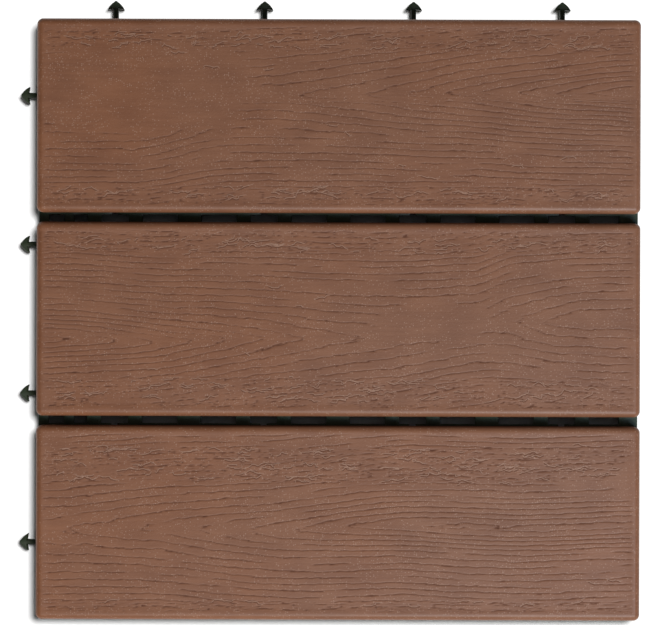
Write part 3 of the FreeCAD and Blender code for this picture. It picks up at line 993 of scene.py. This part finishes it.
@dataclass
class Slat:
    """One slat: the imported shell, with a finely grooved walking face in place of its flat one.

    Attributes:
        node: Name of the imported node.
        grain: The grain of its walking face.
        groove_depth: Depth of the grooves, in metres.
        groove_width: Half the width of a groove, in millimetres.
        sink: How far the face lies under its rim, so that the strokes stay below it, in metres.
        stroke_density: Most strokes to a square metre.
        stroke_length, stroke_step: Length of a common stroke, and between its points, in metres.
        columns, rows: Points along the face and across it.
        sharp: Edges that turn further than this stay sharp, in radians.
    """

    MEASURES = ("groove_depth", "groove_width", "sink", "stroke_density", "stroke_length", "stroke_step")
    COUNTS = ("columns", "rows")

    node: str
    grain: Grain
    groove_depth: float
    groove_width: float = 0.38
    sink: float = 0.00012
    stroke_density: float = 80000.0
    stroke_length: float = 0.0085
    stroke_step: float = 0.0008
    columns: int = 224
    rows: int = 320
    sharp: float = math.radians(38.0)

    def build(self, tree: GrainTree, material: Material) -> None:
        """Builds the slat.

        Args:
            tree: The tree that lays the walking face.
            material: The slats' finish.
        """
        bm = read_packed(self.node)
        opening = self._open_top(bm)
        self._divide_rim(bm, opening)
        piece = add_piece(f"{self.node}_dressed", bm)
        values: dict[str, Any] = {**opening, **self.grain.values(), "material": material}
        for name in self.MEASURES + self.COUNTS:
            values[name] = getattr(self, name)
        modifier = piece.modifiers.new("walking_face", "NODES")
        modifier.node_group = tree.tree
        for name, value in values.items():
            modifier[tree.inputs[name]] = value
        keep_result(piece, modifier)
        finish_piece(piece, self.node, self.sharp)

    @staticmethod
    def _open_top(bm: BMesh) -> dict[str, float]:
        """Takes the flat walking face off.

        Args:
            bm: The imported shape.

        Returns:
            Size and place of the opening, in metres, by the names of the tree's inputs.
        """
        top = max(v.co.z for v in bm.verts)
        flat = [f for f in bm.faces if all(v.co.z > top - LEVEL_PLAY for v in f.verts)]
        corners = [v.co.copy() for f in flat for v in f.verts]
        bmesh.ops.delete(bm, geom=flat, context="FACES")
        low = Vector(min(c[i] for c in corners) for i in range(3))
        high = Vector(max(c[i] for c in corners) for i in range(3))
        return {
            "half_length": (high.x - low.x) / 2.0,
            "half_width": (high.y - low.y) / 2.0,
            "middle": (low.y + high.y) / 2.0,
            "top": top,
        }

    def _divide_rim(self, bm: BMesh, opening: dict[str, float]) -> None:
        """Divides the edges round the opening, to meet the face point by point.

        Args:
            bm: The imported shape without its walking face.
            opening: Size and place of the opening.
        """
        along = 2.0 * opening["half_length"] / (self.columns - 1)
        across = 2.0 * opening["half_width"] / (self.rows - 1)
        for edge in [e for e in bm.edges if e.is_boundary]:
            run = edge.verts[1].co - edge.verts[0].co
            step = along if abs(run.x) > abs(run.y) else across
            cuts = round(run.length / step) - 1
            if cuts > 0:
                bmesh.ops.subdivide_edges(bm, edges=[edge], cuts=cuts)


@dataclass
class Lattice:
    """The lattice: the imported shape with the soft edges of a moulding.

    Attributes:
        node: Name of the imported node.
        edge: Width of the softened edges, in metres.
        steps: Faces across a softened edge.
        sharp: Edges that turn further than this are softened, in radians.
        flat: Faces that turn less than this are one face, in radians.
    """

    node: str = "base_grid"
    edge: float = 0.00022
    steps: int = 2
    sharp: float = math.radians(35.0)
    flat: float = math.radians(1.0)

    def build(self, material: Material) -> None:
        """Builds the lattice.

        Args:
            material: The lattice's finish.
        """
        bm = read_packed(self.node)
        bmesh.ops.dissolve_limit(bm, angle_limit=self.flat, verts=bm.verts, edges=bm.edges)
        piece = add_piece(f"{self.node}_dressed", bm)
        piece.data.materials.append(material)
        soften = piece.modifiers.new("soft_edges", "BEVEL")
        soften.width = self.edge
        soften.segments = self.steps
        soften.limit_method = "ANGLE"
        soften.angle_limit = self.sharp
        keep_result(piece, soften)
        finish_piece(piece, self.node, self.sharp)


def towards_middle(place: Triple) -> Euler:
    """Rotation of a light that stands at a place and faces the middle of the tile."""
    return (-Vector(place)).to_track_quat("-Z", "Y").to_euler()


@dataclass(frozen=True)
class SoftLight:
    """A square soft light that faces the middle of the tile.

    Attributes:
        name, colour: Its name and its colour.
        place, size: Where it stands, and its side, in metres.
        power: Its power, in watts.
    """

    name: str
    place: Triple
    size: float
    power: float
    colour: Triple

    def add(self) -> Object:
        """Adds the light to the scene.

        Returns:
            The light's object.
        """
        data = bpy.data.lights.new(self.name, "AREA")
        data.size = self.size
        data.energy = self.power
        data.color = self.colour
        light = add_object(self.name, data)
        light.location = self.place
        light.rotation_euler = towards_middle(self.place)
        return light


@dataclass
class Studio:
    """Floor, lights and camera.

    Attributes:
        eye_height, face_height: Camera and walking face above the ground, in metres.
        pixels_per_metre: Scale of the photograph at the walking face.
        shown_centre: Pixel at which the photograph shows the middle of the tile.
        roll: How far the tile lies clockwise in the photograph, in radians.
        sensor: Width of the camera's sensor, in millimetres.
        floor_reach: Half the side of the floor, in metres.
        hidden_reach: Half the side of the floor under the tile, which the sun is kept off.
        key, overhead: Soft lights for the tile, over the front right and cool over the right.
        sun_from, sun_power, sun_width: The sun that casts the tile's shadow on the floor: where it
            stands, its watts to a square metre, and how wide it looks, in radians.
        surround: Brightness of the pale surround.
        open_floor: What the sun lights.
        all_but_floor: What the soft lights light.
    """

    eye_height: float = 3.0
    face_height: float = 0.025
    pixels_per_metre: float = 2021.0
    shown_centre: Pair = (338.25, 319.5)
    roll: float = 0.0032
    sensor: float = 36.0
    floor_reach: float = 3.0
    hidden_reach: float = 0.1484
    key: SoftLight = SoftLight("key", (0.5, -1.35, 2.3), 1.0, 62.3, (1.0, 0.98, 0.94))
    overhead: SoftLight = SoftLight("overhead", (0.44, -0.43, 0.92), 0.4, 5.6, (0.56, 0.75, 1.0))
    sun_from: Triple = (0.16, 0.125, 1.0)
    sun_power: float = 3.9
    sun_width: float = math.radians(12.0)
    surround: float = 0.1
    open_floor: Collection = field(init=False)
    all_but_floor: Collection = field(init=False)

    def lay_floor(self) -> None:
        """Lays the floor that the tile stands on."""
        finish = FloorFinish().make()
        outer = self._square(self.floor_reach)
        inner = self._square(self.hidden_reach)
        count = len(outer)
        sides = [(i, (i + 1) % count, (i + 1) % count + count, i + count) for i in range(count)]
        floor = self._add_floor("floor", outer + inner, sides, finish)
        shaded = self._add_floor("floor_under_tile", inner, [tuple(range(count))], finish)
        self.open_floor = bpy.data.collections.new("open_floor")
        self.open_floor.objects.link(floor)
        self.all_but_floor = bpy.data.collections.new("all_but_floor")
        for member in (floor, shaded):
            self.all_but_floor.objects.link(member)
        for member in self.all_but_floor.collection_objects:
            member.light_linking.link_state = "EXCLUDE"

    @staticmethod
    def _square(reach: float) -> list[Triple]:
        """Corners of a level square on the ground, from half its side."""
        return [(-reach, -reach, 0.0), (reach, -reach, 0.0), (reach, reach, 0.0), (-reach, reach, 0.0)]

    @staticmethod
    def _add_floor(
        name: str,
        corners: list[Triple],
        faces: list[tuple[int, ...]],
        finish: Material,
    ) -> Object:
        """Adds a piece of floor, which belongs to the stage.

        Args:
            name: Its name.
            corners: Its corners.
            faces: The corners of each face.
            finish: Its finish.

        Returns:
            The piece.
        """
        mesh = bpy.data.meshes.new(name)
        mesh.from_pydata(corners, [], faces)
        mesh.materials.append(finish)
        piece = add_object(name, mesh)
        return piece

    def set_camera(self) -> None:
        """Sets the camera straight above the tile, with the photograph's frame."""
        data = bpy.data.cameras.new("camera")
        distance = self.eye_height - self.face_height
        data.sensor_width = self.sensor
        data.lens = self.sensor * distance * self.pixels_per_metre / PHOTO_WIDTH
        data.shift_x = (PHOTO_WIDTH / 2.0 - self.shown_centre[0]) / PHOTO_WIDTH
        data.shift_y = (self.shown_centre[1] - PHOTO_HEIGHT / 2.0) / PHOTO_WIDTH
        camera = add_object("camera", data)
        camera.location = (0.0, 0.0, self.eye_height)
        camera.rotation_euler = (0.0, 0.0, self.roll)
        bpy.context.scene.camera = camera

    def set_lights(self) -> None:
        """Sets the soft lights, the sun and the pale surround."""
        for light in (self.key, self.overhead):
            light.add().light_linking.receiver_collection = self.all_but_floor
        self._add_sun()
        world = bpy.data.worlds.new("surround")
        world.use_nodes = True
        background = world.node_tree.nodes["Background"]
        background.inputs["Color"].default_value = (1.0, 1.0, 1.0, 1.0)
        background.inputs["Strength"].default_value = self.surround
        bpy.context.scene.world = world
        bpy.context.scene.view_settings.view_transform = "Standard"

    def _add_sun(self) -> None:
        """Adds the sun, which lights the open floor alone."""
        data = bpy.data.lights.new("window", "SUN")
        data.energy = self.sun_power
        data.angle = self.sun_width
        sun = add_object("window", data)
        sun.rotation_euler = towards_middle(self.sun_from)
        sun.light_linking.receiver_collection = self.open_floor


REAR = Grain(
    heart=7.0,
    heart_rise=2.0,
    rise_from=-60.0,
    rise_to=60.0,
    torn_top=33.0,
    torn_top_end=60.0,
    torn_bottom=-36.0,
    bare_x=-100.0,
    bare_y=13.0,
    bare_long=60.0,
    bare_wide=20.0,
    seed=4.0,
    upper=(Swell(62.0, -45.0, 230.0, 19.0), Swell(10.0, -90.0, 170.0, 60.0)),
    lower=(Swell(50.0, -45.0, 200.0, 12.0), Swell(-11.0, -106.0, -56.0, 45.0)),
)
MIDDLE = Grain(
    heart=-8.2,
    heart_rise=7.6,
    rise_from=10.0,
    rise_to=84.0,
    torn_top=34.0,
    torn_top_end=60.0,
    torn_bottom=-30.0,
    bare_x=48.0,
    bare_y=-1.0,
    bare_long=28.0,
    bare_wide=9.0,
    seed=17.0,
    upper=(
        Swell(42.0, 25.0, -170.0, 12.0),
        Swell(-7.0, 10.0, 84.0, 60.0),
        Swell(8.5, 66.0, 90.0, 60.0),
        Swell(13.0, 82.0, 122.0, 16.0),
    ),
    lower=(
        Swell(45.0, 30.0, -170.0, 16.0),
        Swell(10.0, 62.0, -150.0, 60.0),
        Swell(6.0, 62.0, 150.0, 60.0),
        Swell(7.0, 82.0, 112.0, 9.0),
    ),
)
FRONT = Grain(
    heart=-3.4,
    heart_rise=1.4,
    rise_from=-60.0,
    rise_to=40.0,
    torn_top=21.0,
    torn_top_end=37.5,
    torn_bottom=-39.5,
    bare_x=170.0,
    bare_y=20.0,
    bare_long=30.0,
    bare_wide=14.0,
    seed=29.0,
    upper=(Swell(36.0, -165.0, 75.0, 13.0), Swell(8.0, -150.0, 60.0, 60.0)),
    lower=(Swell(36.0, -165.0, 75.0, 11.0), Swell(5.0, -150.0, 20.0, 60.0)),
)


def main() -> None:
    """Builds and dresses the tile, then the studio round it."""
    logging.basicConfig(level=logging.INFO, format="%(name)s: %(message)s")
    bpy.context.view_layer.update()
    slat_finish = SlatFinish().make()
    tree = GrainTree()
    slats = (
        Slat("slat_rear", REAR, groove_depth=0.00011),
        Slat("slat_middle", MIDDLE, groove_depth=0.00012),
        Slat("slat_front", FRONT, groove_depth=0.00013),
    )
    for slat in slats:
        slat.build(tree, slat_finish)
    Lattice().build(LatticeFinish().make())
    studio = Studio()
    studio.lay_floor()
    studio.set_camera()
    studio.set_lights()


if __name__ == "__main__":
    main()
